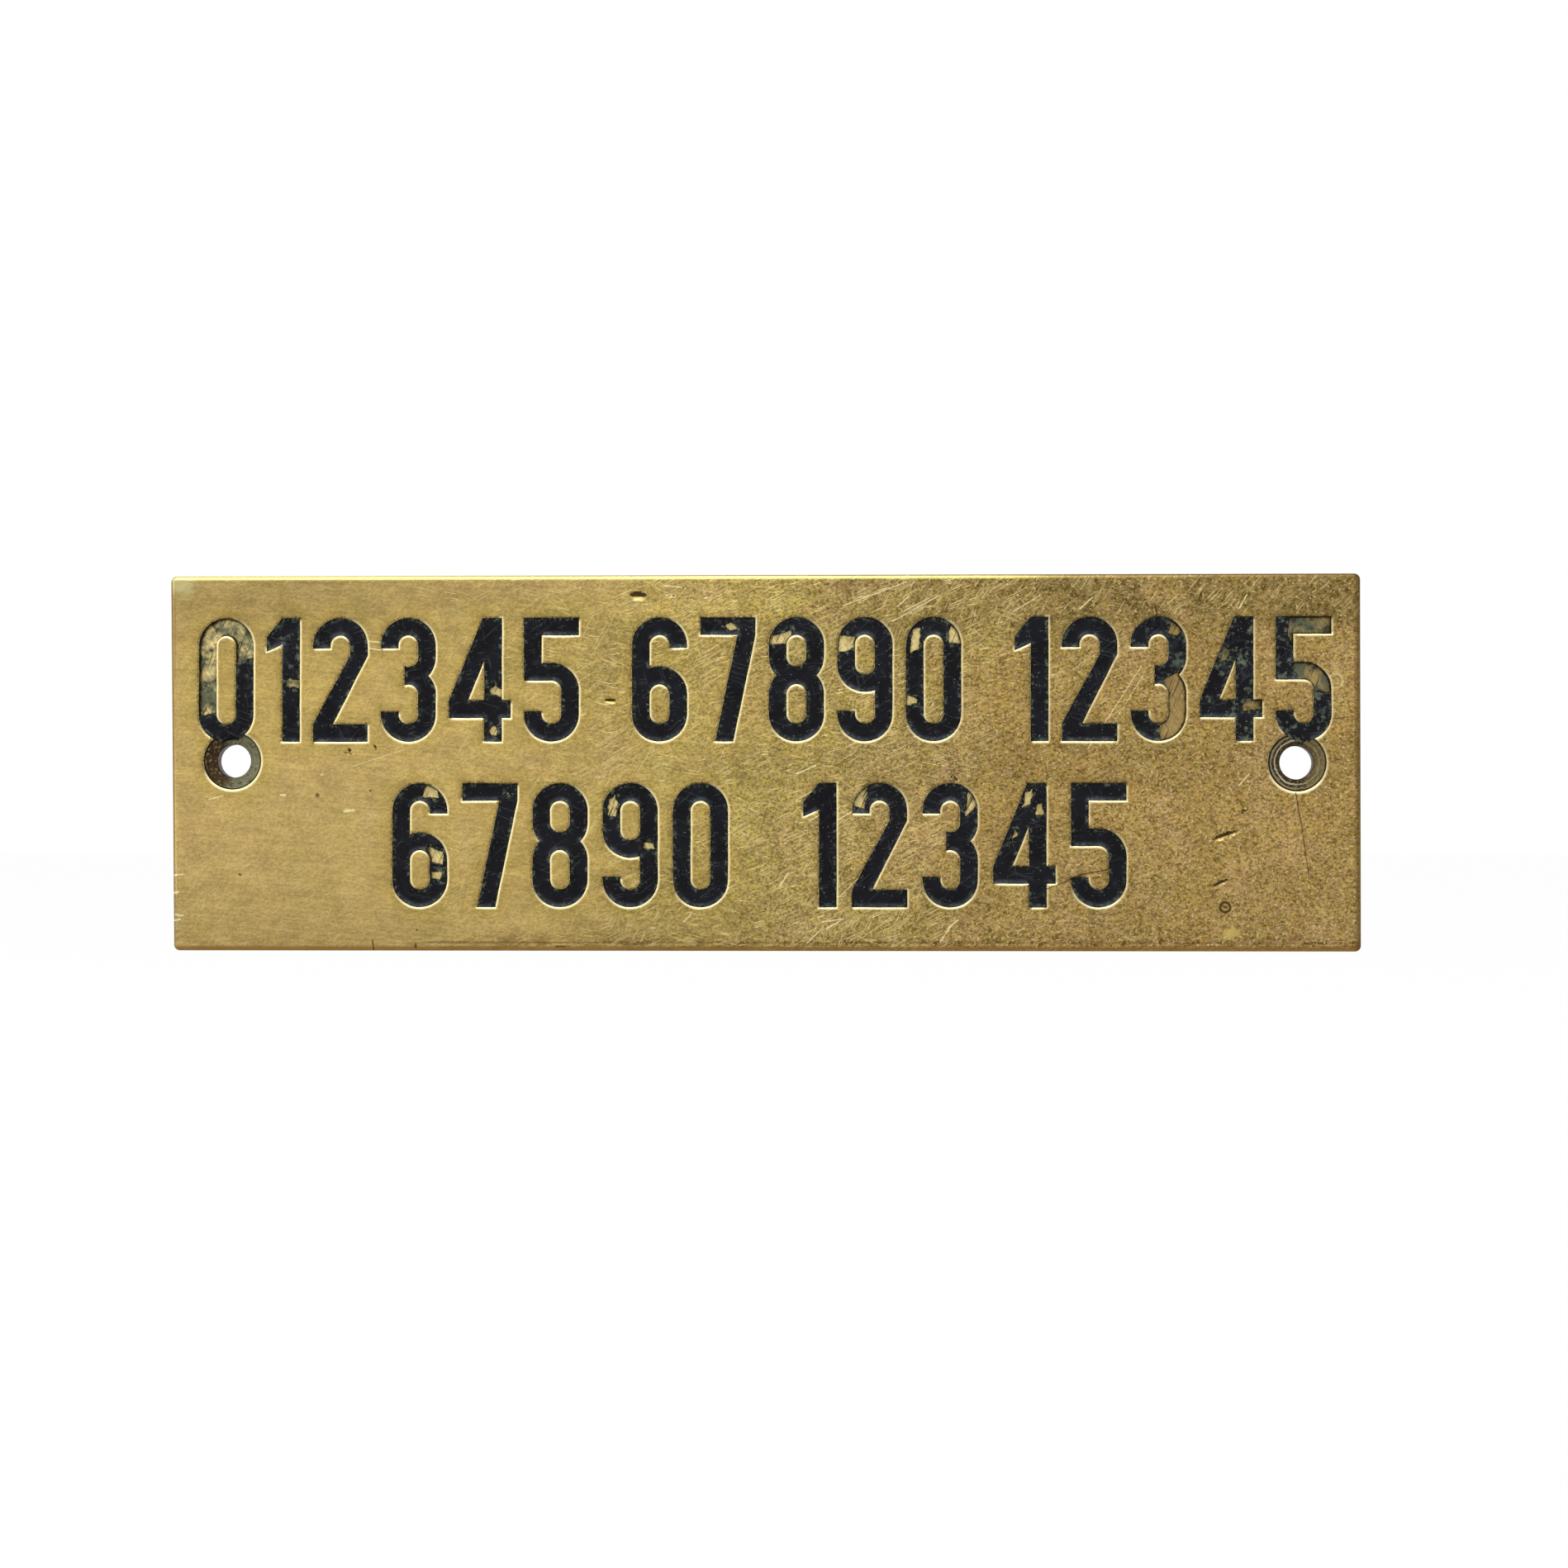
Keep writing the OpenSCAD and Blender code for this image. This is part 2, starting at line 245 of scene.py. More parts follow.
# Marks on the face, in mm along and up from the plate's middle
marks = {
    "dark": [  # start, end, width
        ((27.6, -13.2), (30.5, -12.1), 0.09), ((30.5, -12.1), (32.2, -11.3), 0.13),
        ((32.2, -11.3), (36.1, -10.6), 0.1), ((39.65, 16.0), (39.85, 15.0), 0.1),
        ((53.8, -3.1), (54.4, -6.5), 0.09), ((54.4, -6.5), (55.1, -11.4), 0.07),
        ((46.6, -14.6), (46.8, -14.6), 0.2), ((-39.4, 1.75), (-39.3, 1.45), 0.16),
        ((-42.1, 1.5), (-41.9, 0.9), 0.12), ((-42.5, 1.1), (-41.8, 1.0), 0.08),
        ((-39.6, -18.0), (-39.5, -18.9), 0.12), ((-35.2, -18.4), (-35.2, -18.7), 0.14),
        ((-20.9, -18.6), (-20.0, -18.6), 0.12), ((19.1, -1.4), (19.15, -1.5), 0.14),
        ((19.6, -1.75), (19.7, -1.8), 0.12), ((57.5, 4.4), (59.4, 4.6), 0.07),
        ((48.45, -5.1), (48.55, -4.75), 0.16), ((56.7, -10.15), (56.85, -10.0), 0.16),
        ((-45.3, -3.2), (-45.25, -3.3), 0.3), ((-53.2, -11.3), (-53.15, -11.35), 0.16),
        ((-39.9, -2.8), (-39.85, -2.8), 0.14), ((-35.1, -16.9), (-35.05, -16.95), 0.12),
        ((55.1, -4.8), (55.0, -5.0), 0.1),
    ],
    "pale": [  # start, end, width
        ((48.1, -2.3), (49.1, -1.2), 0.08), ((38.3, 9.7), (33.0, 1.5), 0.05),
        ((38.5, 8.8), (34.1, 1.7), 0.035), ((-9.9, 18.0), (-8.2, 17.8), 0.09),
        ((-9.2, 16.95), (-8.9, 16.85), 0.16), ((-5.9, 16.85), (-5.6, 16.8), 0.14),
        ((-40.1, 12.4), (-38.9, 12.3), 0.08), ((-40.0, 11.7), (-38.9, 11.5), 0.09),
        ((-60.0, -11.4), (-58.9, -11.3), 0.1), ((-60.0, -16.0), (-59.3, -15.9), 0.12),
        ((-59.8, -15.4), (-59.0, -15.5), 0.1), ((-60.0, -13.2), (-59.5, -13.1), 0.14),
        ((-49.05, -3.2), (-48.55, -3.25), 0.14), ((-42.5, -4.9), (-41.6, -4.75), 0.2),
        ((-56.4, -3.7), (-54.9, -3.3), 0.08), ((-44.9, -1.2), (-44.7, -1.2), 0.1),
        ((-41.6, -0.3), (-36.3, 1.4), 0.035), ((8.2, 15.9), (14.6, 18.3), 0.07),
        ((9.8, 16.7), (12.0, 17.2), 0.05), ((13.2, 14.3), (17.9, 16.9), 0.07),
        ((13.7, 15.8), (14.9, 16.9), 0.08), ((14.4, 15.4), (16.8, 16.6), 0.06),
        ((25.3, 15.2), (28.1, 16.9), 0.06), ((32.1, 15.5), (33.4, 16.7), 0.09),
        ((48.2, 15.6), (48.9, 16.9), 0.1), ((1.8, -12.5), (2.6, -11.2), 0.1),
        ((6.1, -16.1), (8.2, -15.8), 0.08), ((6.5, -16.8), (7.9, -16.0), 0.08),
        ((18.0, -18.1), (19.1, -16.5), 0.09), ((18.8, -16.7), (19.8, -15.9), 0.09),
        ((7.9, -13.5), (9.9, -11.5), 0.05), ((3.4, -3.8), (5.4, -2.7), 0.06),
        ((7.1, -6.1), (9.9, -4.5), 0.09), ((4.8, -5.9), (7.1, -4.5), 0.07),
        ((-5.1, -7.9), (-4.0, -7.9), 0.09), ((4.6, -18.2), (6.2, -16.6), 0.06),
        ((-8.0, -16.1), (-7.2, -15.4), 0.07), ((3.5, -1.1), (5.4, -0.3), 0.08),
    ],
    "yellow": [((47.1, -17.3), (47.5, -17.1), 0.8)],  # start, end, width
    "paleRings": [((57.8, 8.2), 0.7)],  # centre, radius
    "rings": [((46.7, -14.6), 0.5)],
}


def markMask(tree, place, lines):
    total = 0
    for start, end, width in lines:
        line = useGroup(tree, hairline, Place=place, Start=(*start, 0), End=(*end, 0), Width=width)
        total = calc(tree, "MAXIMUM", total, line)
    return total


def ringMask(tree, place, rings):
    total = 0
    flat = vectorCalc(tree, "MULTIPLY", place, (1, 1, 0))
    for centre, radius in rings:
        away = vectorCalc(tree, "DISTANCE", flat, (*centre, 0))
        off = calc(tree, "ABSOLUTE", calc(tree, "SUBTRACT", away, radius))
        total = calc(tree, "MAXIMUM", total, fade(tree, off, 0.17, 0.07))
    return total


# Face brass: golden on the left, olive in the middle and brown on the right, with grime by the cuts, painted
# shade beside their upper and left sides, and painted highlights on their lower and right rims, on the dents
# and along the top edge
face = {
    "golden": (187, 160, 98), "olive": (159, 139, 74), "brown": (151, 123, 63), "rose": (178, 147, 104),
    "yellow": (190, 164, 82), "green": (166, 152, 78), "polishAndHighlight": (246, 231, 178), "grime": (62, 50, 24),
    "deep": (108, 90, 42), "foot": (112, 86, 34), "scribed": (92, 68, 26), "glint": (220, 200, 142),
    "pit": (84, 68, 34), "scratch": (226, 206, 144), "nick": (96, 80, 38), "paleLine": (206, 186, 132),
    "footEdge": (132, 99, 48), "rightEnd": (86, 66, 32), "leftEnd": (120, 96, 56), "ridge": (238, 220, 134),
    "dullRidge": (104, 82, 44), "corner": (222, 220, 164), "outline": (110, 84, 46), "mark": (58, 44, 22),
    "yellowMark": (200, 174, 98), "ringMark": (70, 55, 28), "dentShade": (38, 29, 15), "rough": 0.38,
}
# Polishing strokes: turn in degrees, length, width, share, bend, and the patch values they fade between
strokes = [
    (-27, 3.0, 0.12, 0.42, 0.6, 0.42, 0.5), (12, 2.4, 0.12, 0.4, 0.6, 0.52, 0.44),
    (-66, 1.8, 0.12, 0.3, 0.7, 0.5, 0.58), (-12, 1.5, 0.12, 0.2, 0.6, 0, 0.01),
    (-33, 8, 0.09, 0.04, 0.8, 0, 0.01), (24, 6, 0.09, 0.04, 0.8, 0, 0.01), (-58, 6, 0.09, 0.04, 0.8, 0, 0.01),
]


def makeFaceBrass():
    material, tree, shader = newMaterial("faceBrass", {"Metallic": 1})
    place = inMillimetres(tree)
    parts = addNode(tree, "SeparateXYZ", {0: place}).outputs
    along, up = parts[0], parts[1]
    gap, edge, dentShading = attribute(tree, "rimGap"), attribute(tree, "edgeGap"), attribute(tree, "dentShading")
    sideways, upwards = attribute(tree, "rimAcross"), attribute(tree, "rimUp")
    leftSide, rightSide = fade(tree, sideways, -0.2, -0.8), fade(tree, sideways, 0.2, 0.9)
    topSide, bottomSide = fade(tree, upwards, 0.2, 0.8), fade(tree, upwards, -0.2, -0.9)

    def tint(share, over, amount=1):  # lays a colour over what is there
        return blendColour(tree, times(tree, share, amount), colour, paint(*over))

    def brighten(share, amount):  # or darkens, where the amount is below 0
        return shadeColour(tree, colour, calc(tree, "MULTIPLY_ADD", share, amount, 1))

    # the broad drift of colour
    wander = calc(tree, "MULTIPLY_ADD", cloud(tree, place, 16), 44, calc(tree, "SUBTRACT", along, 22))
    busy = fade(tree, wander, -34, 16, 0.3, 1.1)
    colour = blendColour(tree, fade(tree, wander, -30, 0), paint(*face["golden"]), paint(*face["olive"]))
    colour = blendColour(tree, fade(tree, wander, 2, 36), colour, paint(*face["brown"]))
    rosy = useGroup(tree, stain, Place=place, Size=6.0, Share=0.5, Edge=0.2)
    colour = tint(times(tree, rosy, fade(tree, wander, -20, 30, 0.3, 0.6)), face["rose"])
    near = times(tree, fade(tree, gap, 2.4, 0.6), fade(tree, wander, 24, -10))
    colour = tint(near, face["yellow"], 0.4)
    greenish = fade(tree, cloud(tree, place, 5, 3, 0.6, seed=14), 0.45, 0.62)
    greenish = times(tree, greenish, fade(tree, calc(tree, "ABSOLUTE", wander), 34, 6, 0.35, 1))
    colour = tint(greenish, face["green"], 0.4)
    swell = calc(tree, "MULTIPLY_ADD", cloud(tree, place, 7, seed=8), 8, calc(tree, "SUBTRACT", up, 4))
    colour = shadeColour(tree, colour, fade(tree, calc(tree, "ABSOLUTE", swell), 6, 17, 1.03, 0.9))
    sideStep = calc(tree, "ABSOLUTE", calc(tree, "ADD", along, 5))
    topMiddle = times(tree, fade(tree, up, 13, 15.5), fade(tree, sideStep, 18, 7))
    colour = brighten(topMiddle, 0.3)
    topLeft = times(tree, fade(tree, up, 11, 17), fade(tree, along, -32, -50))
    colour = brighten(topLeft, -0.13)
    footLeft = times(tree, fade(tree, up, -13, -17), fade(tree, along, -30, -44))
    colour = brighten(footLeft, -0.05)
    between = times(tree, fade(tree, calc(tree, "ABSOLUTE", up), 3.4, 1.2), fade(tree, wander, -16, 10))
    colour = brighten(between, -0.16)
    topBand = times(tree, fade(tree, up, 12, 15.8), fade(tree, wander, 3, 32))
    colour = tint(times(tree, topBand, fade(tree, cloud(tree, place, 4, 3), 0.3, 0.55)), face["deep"], 0.95)
    footBand = times(tree, fade(tree, up, -16.6, -18.2), fade(tree, along, -42, -20, 0.2, 1))
    footBand = times(tree, footBand, fade(tree, cloud(tree, place, (2.4, 0.5, 1), 4, 0.7), 0.42, 0.58))
    colour = tint(footBand, face["foot"], 0.7)
    scribed = calc(tree, "ABSOLUTE", calc(tree, "ADD", up, 18.2))
    scribed = times(tree, fade(tree, scribed, 0.16, 0.05), fade(tree, along, -37, -33, 0, 0.6))
    colour = tint(scribed, face["scribed"])

    # grain and mottling
    fine = cloud(tree, place, (0.3, 0.24, 0.3), 2, 0.75)
    grain = fade(tree, fine, 0.36, 0.64, -0.48, 0.48)
    colour = brighten(grain, busy)
    hue = fade(tree, cloud(tree, place, 0.64, 3, 0.65, seed=7), 0.42, 0.62)
    colour = tint(times(tree, hue, busy), face["rose"], 0.4)
    mottled = cloud(tree, place, (2.6, 1.8, 2), 3, 0.6, seed=2)
    colour = shadeColour(tree, colour, fade(tree, mottled, 0.3, 0.7, 0.9, 1.1))
    drawn = cloud(tree, place, (5, 0.24, 1), 3, 0.65, turn=radians(-5), seed=3)
    streaked = times(tree, fade(tree, drawn, 0.35, 0.65, -0.075, 0.075), fade(tree, wander, -10, 20, 1, 0.4))
    colour = shadeColour(tree, colour, calc(tree, "ADD", streaked, 1))
    glint = fade(tree, cloud(tree, place, 0.27, 1, 0.5, seed=9), 0.6, 0.7)
    colour = tint(times(tree, glint, fade(tree, wander, -34, 24, 0.1, 1)), face["glint"], 0.6)
    pit = fade(tree, cloud(tree, place, 0.34, 2, 0.6, seed=11), 0.62, 0.72)
    colour = tint(times(tree, pit, busy), face["pit"], 0.55)

    # short polishing strokes whose direction changes from patch to patch, and a few long scratches
    patch = cloud(tree, place, 9, 1, seed=4)
    scored = 0
    for turn, length, width, share, bend, low, high in strokes:
        moved = vectorCalc(tree, "ADD", place, (turn, length * 9, 0))
        layer = scratchLayer(tree, moved, turn, length, width, share, bend)
        scored = calc(tree, "MAXIMUM", scored, times(tree, layer, fade(tree, patch, low, high)))
    middling = times(tree, fade(tree, wander, -44, -4, 0.45, 1), fade(tree, wander, 44, 14, 0.36, 1))
    scored = times(tree, scored, middling)
    hatch = scratchLayer(tree, place, -52, 2.6, 0.14, 0.45, 1.0)
    hatched = times(tree, hatch, times(tree, fade(tree, up, 13.6, 15.6), fade(tree, along, 4, 24)))
    scored = calc(tree, "MAXIMUM", scored, hatched)
    colour = tint(scored, face["scratch"], 0.66)
    nicked = scratchLayer(tree, place, -25, 2.0, 0.13, 0.4, 0.7)
    colour = tint(times(tree, nicked, times(tree, busy, middling)), face["nick"], 0.55)

    # grime beside the cuts, with painted shade added to their left and above, where the walls of the cuts lie
    # in shade
    crumbs = cloud(tree, place, 0.2, 2, 0.75, seed=5)
    shaded = calc(tree, "MAXIMUM", leftSide, topSide)
    smoke = times(tree, fade(tree, gap, 1.1, 0.1), fade(tree, cloud(tree, place, 1.6, 3, seed=12), 0.3, 0.6))
    colour = tint(times(tree, smoke, fade(tree, shaded, 0, 1, 0.45, 1)), face["deep"], 0.32)
    dotted = fade(tree, calc(tree, "MULTIPLY_ADD", crumbs, 0.9, calc(tree, "SUBTRACT", gap, 0.45)), 0.2, 0.04)
    colour = tint(times(tree, dotted, shaded), face["grime"], 0.65)

    # rims: a painted highlight in cream below and on the right of a stroke, the sides that face the lamps,
    # and a broken pale line on its left
    thin = fade(tree, gap, 0.32, 0.08)
    litRims = calc(tree, "MAXIMUM", bottomSide, times(tree, rightSide, fade(tree, wander, 40, -20, 0.45, 0.75)))
    colour = tint(times(tree, thin, litRims), face["polishAndHighlight"], 0.95)
    paleLine = times(tree, fade(tree, gap, 0.1, 0.04), fade(tree, crumbs, 0.34, 0.5))
    colour = tint(times(tree, paleLine, leftSide), face["paleLine"], 0.7)
    # a painted highlight on the lower part of each screw seat's rim
    seatRimHighlight = times(tree, fade(tree, attribute(tree, "seatRadius"), 3.3, 3.08), bottomSide)
    colour = tint(seatRimHighlight, face["polishAndHighlight"], 0.8)

    # the plate's own edge: a painted highlight along the top from the left, brown at the foot, both ends and
    # the top right
    atEdge = fade(tree, edge, 0.62, 0.3)
    colour = tint(times(tree, atEdge, fade(tree, up, -18.3, -18.55)), face["footEdge"], 0.8)
    colour = tint(fade(tree, along, 59.5, 60.1), face["rightEnd"], 0.7)
    colour = tint(fade(tree, along, -59.65, -59.95), face["leftEnd"], 0.6)
    ridge = fade(tree, up, 18.5, 18.75)
    colour = tint(times(tree, ridge, fade(tree, wander, 50, 0)), face["ridge"], 0.75)
    colour = tint(times(tree, ridge, fade(tree, wander, 10, 50)), face["dullRidge"], 0.6)
    nearCorner = vectorCalc(tree, "DISTANCE", place, (-59.2, 18.2, 3.2))
    ragged = calc(tree, "MULTIPLY_ADD", cloud(tree, place, 1.2, 3), 2, nearCorner)
    colour = tint(fade(tree, ragged, 2.9, 1.2), face["corner"], 0.4)
    outline = times(tree, fade(tree, up, 18.92, 18.99), fade(tree, along, -50, 0, 0.2, 1))
    colour = tint(outline, face["outline"], 0.7)

    # single marks, and the dents with painted shade on their upper side and a painted highlight on their
    # lower one
    colour = tint(ringMask(tree, place, marks["paleRings"]), face["polishAndHighlight"], 0.3)
    colour = tint(markMask(tree, place, marks["dark"]), face["mark"], 0.75)
    colour = tint(markMask(tree, place, marks["yellow"]), face["yellowMark"], 0.7)
    colour = tint(ringMask(tree, place, marks["rings"]), face["ringMark"], 0.95)
    colour = tint(markMask(tree, place, marks["pale"]), face["polishAndHighlight"], 0.7)
    colour = tint(fade(tree, dentShading, -0.03, -0.3), face["dentShade"], 0.9)
    colour = tint(fade(tree, dentShading, 0.1, 0.5), face["polishAndHighlight"], 0.7)

    rough = calc(tree, "MULTIPLY_ADD", fine, 0.16, face["rough"] - 0.08)
    rough = calc(tree, "MULTIPLY_ADD", dotted, 0.16, rough)
    rough = calc(tree, "MULTIPLY_ADD", scored, -0.08, rough)
    height = calc(tree, "MULTIPLY_ADD", drawn, 0.2, times(tree, fine, 0.6))
    height = calc(tree, "MULTIPLY_ADD", scored, -0.6, height)
    dress(tree, shader, colour, rough, height, 0.00002)
    return material


# Cut brass: floors and walls of the cuts, tooled, near black at the foot of the walls with dirt and painted
# shade, and green near the ends
cut = {
    "brass": (236, 214, 146), "brown": (170, 144, 90), "stain": (124, 106, 62), "crack": (52, 42, 24),
    "green": (92, 100, 80), "black": (40, 40, 32), "wall": (112, 90, 52), "foot": (30, 25, 16), "rough": 0.42,
}


def makeCutBrass():
    material, tree, shader = newMaterial("cutBrass", {"Metallic": 0.9})
    place = inMillimetres(tree)
    parts = addNode(tree, "SeparateXYZ", {0: place}).outputs
    foot, wall = attribute(tree, "footGap"), attribute(tree, "wall")
    tooled = cloud(tree, place, (2.2, 0.1, 1), 2, 0.6, turn=radians(-62))
    grain = cloud(tree, place, 0.5, 4, 0.65, seed=1)
    colour = blendColour(tree, fade(tree, parts[0], 20, 42), paint(*cut["brass"]), paint(*cut["brown"]))
    colour = shadeColour(tree, colour, fade(tree, tooled, 0.36, 0.62, 1.05, 0.76))
    colour = shadeColour(tree, colour, fade(tree, grain, 0.38, 0.64, 0.88, 1.14))
    brown = useGroup(tree, stain, Place=place, Size=1.6, Share=0.42, Edge=0.12)
    colour = blendColour(tree, times(tree, brown, 0.4), colour, paint(*cut["stain"]))
    crack = scratchLayer(tree, place, -66, 2.6, 0.18, 0.5, 0.8)
    colour = blendColour(tree, times(tree, crack, 0.85), colour, paint(*cut["crack"]))
    farOut = fade(tree, calc(tree, "ABSOLUTE", parts[0]), 42, 50)
    green = times(tree, useGroup(tree, stain, Place=place, Size=2.4, Share=0.7, Edge=0.14), farOut)
    colour = blendColour(tree, times(tree, green, 0.9), colour, paint(*cut["green"]))
    black = times(tree, useGroup(tree, stain, Place=place, Size=0.9, Share=0.46, Edge=0.12), farOut)
    colour = blendColour(tree, times(tree, black, 0.75), colour, paint(*cut["black"]))
    colour = blendColour(tree, times(tree, wall, 0.8), colour, paint(*cut["wall"]))
    # dirt and painted shade at the foot of the walls, where the floor meets them
    footDirtAndShade = fade(tree, calc(tree, "MULTIPLY_ADD", grain, 0.3, foot), 0.44, 0.2)
    colour = blendColour(tree, times(tree, footDirtAndShade, 0.9), colour, paint(*cut["foot"]))
    rough = calc(tree, "MULTIPLY_ADD", grain, 0.3, cut["rough"] - 0.12)
    height = calc(tree, "MULTIPLY_ADD", tooled, 0.7, times(tree, grain, 0.4))
    height = calc(tree, "MULTIPLY_ADD", crack, -0.7, height)
    dress(tree, shader, colour, rough, height, 0.00004)
    return material


# Screw seats: the left one brown and grey-green, the right one in dark turned rings; each is painted darker
# on its left part and lighter on its right part, as painted shade and light
seat = {
    "brown": (84, 65, 42), "green": (144, 144, 112), "ring": (100, 88, 58), "dark": (32, 27, 18),
    "bright": (218, 204, 164), "olive": (146, 128, 84), "grime": (30, 24, 15), "fleck": (196, 172, 122),
    "rim": (20, 17, 12), "bore": (52, 36, 20), "rough": 0.45,
}


def makeSeatBrass():
    material, tree, shader = newMaterial("seatBrass", {"Metallic": 0.9})
    place = inMillimetres(tree)
    along = addNode(tree, "SeparateXYZ", {0: place}).outputs[0]
    radius, sideways = attribute(tree, "seatRadius"), attribute(tree, "seatAcross")
    blotch = cloud(tree, place, 1.1, 4, 0.65)
    wobble = calc(tree, "MULTIPLY_ADD", blotch, 0.3, radius)
    lathe = {"W": times(tree, wobble, 7), "Detail": 2}
    rings = addNode(tree, "TexNoise", lathe, noise_dimensions="1D").outputs["Fac"]
    turned = fade(tree, rings, 0.42, 0.58)
    # painted shade on each seat's left part and painted light on its right part
    across = calc(tree, "MULTIPLY_ADD", blotch, 3, calc(tree, "SUBTRACT", sideways, 1.5))
    left = blendColour(tree, fade(tree, across, -1.4, 0.4), paint(*seat["brown"]), paint(*seat["green"]))
    left = shadeColour(tree, left, fade(tree, rings, 0.38, 0.62, 0.6, 1.12))
    right = blendColour(tree, turned, paint(*seat["dark"]), paint(*seat["ring"]))
    onRight = fade(tree, along, -1, 1)
    colour = blendColour(tree, onRight, left, right)
    grime = fade(tree, cloud(tree, place, 0.7, 4, 0.7, seed=10), 0.5, 0.64)
    colour = blendColour(tree, times(tree, grime, 0.6), colour, paint(*seat["grime"]))
    fleck = fade(tree, cloud(tree, place, 0.3, 2, 0.6, seed=4), 0.56, 0.68)
    colour = blendColour(tree, times(tree, fleck, 0.7), colour, paint(*seat["fleck"]))
    # painted light in olive on the right part of the right seat
    litPart = times(tree, onRight, fade(tree, across, 0.2, 1.8))
    colour = blendColour(tree, times(tree, litPart, 0.5), colour, paint(*seat["olive"]))
    for ringRadius, strength in ((2.4, 0.95), (2.82, 0.5)):
        off = calc(tree, "ABSOLUTE", calc(tree, "SUBTRACT", wobble, ringRadius))
        bright = times(tree, fade(tree, off, 0.12, 0.04), fade(tree, across, 1.2, -0.6, 0.25, 1))
        bright = times(tree, times(tree, bright, onRight), strength)
        colour = blendColour(tree, bright, colour, paint(*seat["bright"]))
    colour = blendColour(tree, fade(tree, radius, 2.72, 2.86, 0, 0.8), colour, paint(*seat["rim"]))
    bore = fade(tree, radius, 1.85, 1.68)
    colour = blendColour(tree, times(tree, bore, 0.8), colour, paint(*seat["bore"]))
    rough = calc(tree, "MULTIPLY_ADD", blotch, 0.3, seat["rough"] - 0.12)
    height = calc(tree, "MULTIPLY_ADD", rings, 1, times(tree, blotch, 0.4))
    dress(tree, shader, colour, rough, height, 0.00006)
    return material


# Edge and back brass: sawn and filed edges, a dull brown back that has sat against wood
back = {
    "edge": (172, 144, 88), "back": (146, 119, 72), "stain": (88, 68, 38), "dark": (52, 40, 24),
    "rubbed": (206, 178, 116), "rough": 0.46,
}
backScratches = [  # turn in degrees, length, width, share
    (-28, 26, 0.1, 0.035), (13, 30, 0.1, 0.04), (66, 16, 0.09, 0.025), (3, 9, 0.1, 0.09), (-52, 5, 0.1, 0.04),
]


def makeBackBrass():
    material, tree, shader = newMaterial("backBrass", {"Metallic": 1})
    place = inMillimetres(tree)
    parts = addNode(tree, "SeparateXYZ", {0: place}).outputs
    onBack = fade(tree, parts[2], 0.12, 0.02)

    def tint(share, over, amount=1):
        return blendColour(tree, times(tree, share, amount), colour, paint(*over))

    filed = cloud(tree, place, (0.16, 0.16, 3), 2, 0.6)
    rolled = cloud(tree, place, (12, 0.12, 1), 3, 0.65)
    lines = addNode(tree, "Mix", {0: onBack, 2: filed, 3: rolled}).outputs[0]
    colour = blendColour(tree, onBack, paint(*back["edge"]), paint(*back["back"]))
    colour = shadeColour(tree, colour, fade(tree, lines, 0.3, 0.7, 0.84, 1.12))
    grain = cloud(tree, place, 0.4, 2, 0.7, seed=2)
    colour = shadeColour(tree, colour, fade(tree, grain, 0.34, 0.66, 0.86, 1.12))
    broad = useGroup(tree, stain, Place=place, Size=13.0, Share=0.5, Edge=0.22)
    small = useGroup(tree, stain, Place=place, Size=1.8, Share=0.3, Edge=0.1)
    colour = tint(broad, back["stain"], 0.5)
    colour = tint(small, back["stain"], 0.45)
    spot = fade(tree, cloud(tree, place, 0.5, 3, 0.6, seed=3), 0.64, 0.72)
    colour = tint(spot, back["dark"], 0.5)

    # a ring of stain round each hole, and bare metal along the rubbed edges
    flat = vectorCalc(tree, "MULTIPLY", place, (1, 1, 0))
    fromHoles = [vectorCalc(tree, "DISTANCE", flat, (*middle, 0)) for middle in sizes["holes"]]
    away = calc(tree, "MULTIPLY_ADD", cloud(tree, place, 1.6, 3), 2.4, calc(tree, "MINIMUM", *fromHoles))
    halo = times(tree, fade(tree, away, 5.2, 4), onBack)
    colour = tint(halo, back["dark"], 0.5)
    toEnds = calc(tree, "SUBTRACT", sizes["halfLength"], calc(tree, "ABSOLUTE", parts[0]))
    toSides = calc(tree, "SUBTRACT", sizes["halfHeight"], calc(tree, "ABSOLUTE", parts[1]))
    toEdge = calc(tree, "MINIMUM", toEnds, toSides)
    inwards = calc(tree, "MULTIPLY_ADD", cloud(tree, place, 2.2, 4, 0.7, seed=5), 2, toEdge)
    rubbed = times(tree, fade(tree, inwards, 1.5, 0.9), onBack)
    colour = tint(rubbed, back["rubbed"], 0.6)

    scored = 0
    for turn, length, width, share in backScratches:
        moved = vectorCalc(tree, "ADD", place, (turn, length * 9, 0))
        layer = scratchLayer(tree, moved, turn, length, width, share, 0.4)
        scored = calc(tree, "MAXIMUM", scored, layer)
    colour = tint(scored, back["rubbed"], 0.5)
    rough = calc(tree, "MULTIPLY_ADD", broad, 0.14, back["rough"])
    rough = calc(tree, "MULTIPLY_ADD", rubbed, -0.12, rough)
    height = calc(tree, "MULTIPLY_ADD", scored, -0.6, lines)
    dress(tree, shader, colour, rough, height, 0.00002)
    return material


# Wax: near black with a blue cast, finely scratched, scuffed grey and dusted with pale specks
waxLook = {
    "black": (6, 6, 10), "soft": (27, 28, 36), "scuff": (46, 49, 54), "shine": (98, 104, 114),
    "green": (122, 132, 112), "pale": (118, 122, 122), "dust": (168, 170, 162), "rough": 0.38,
}


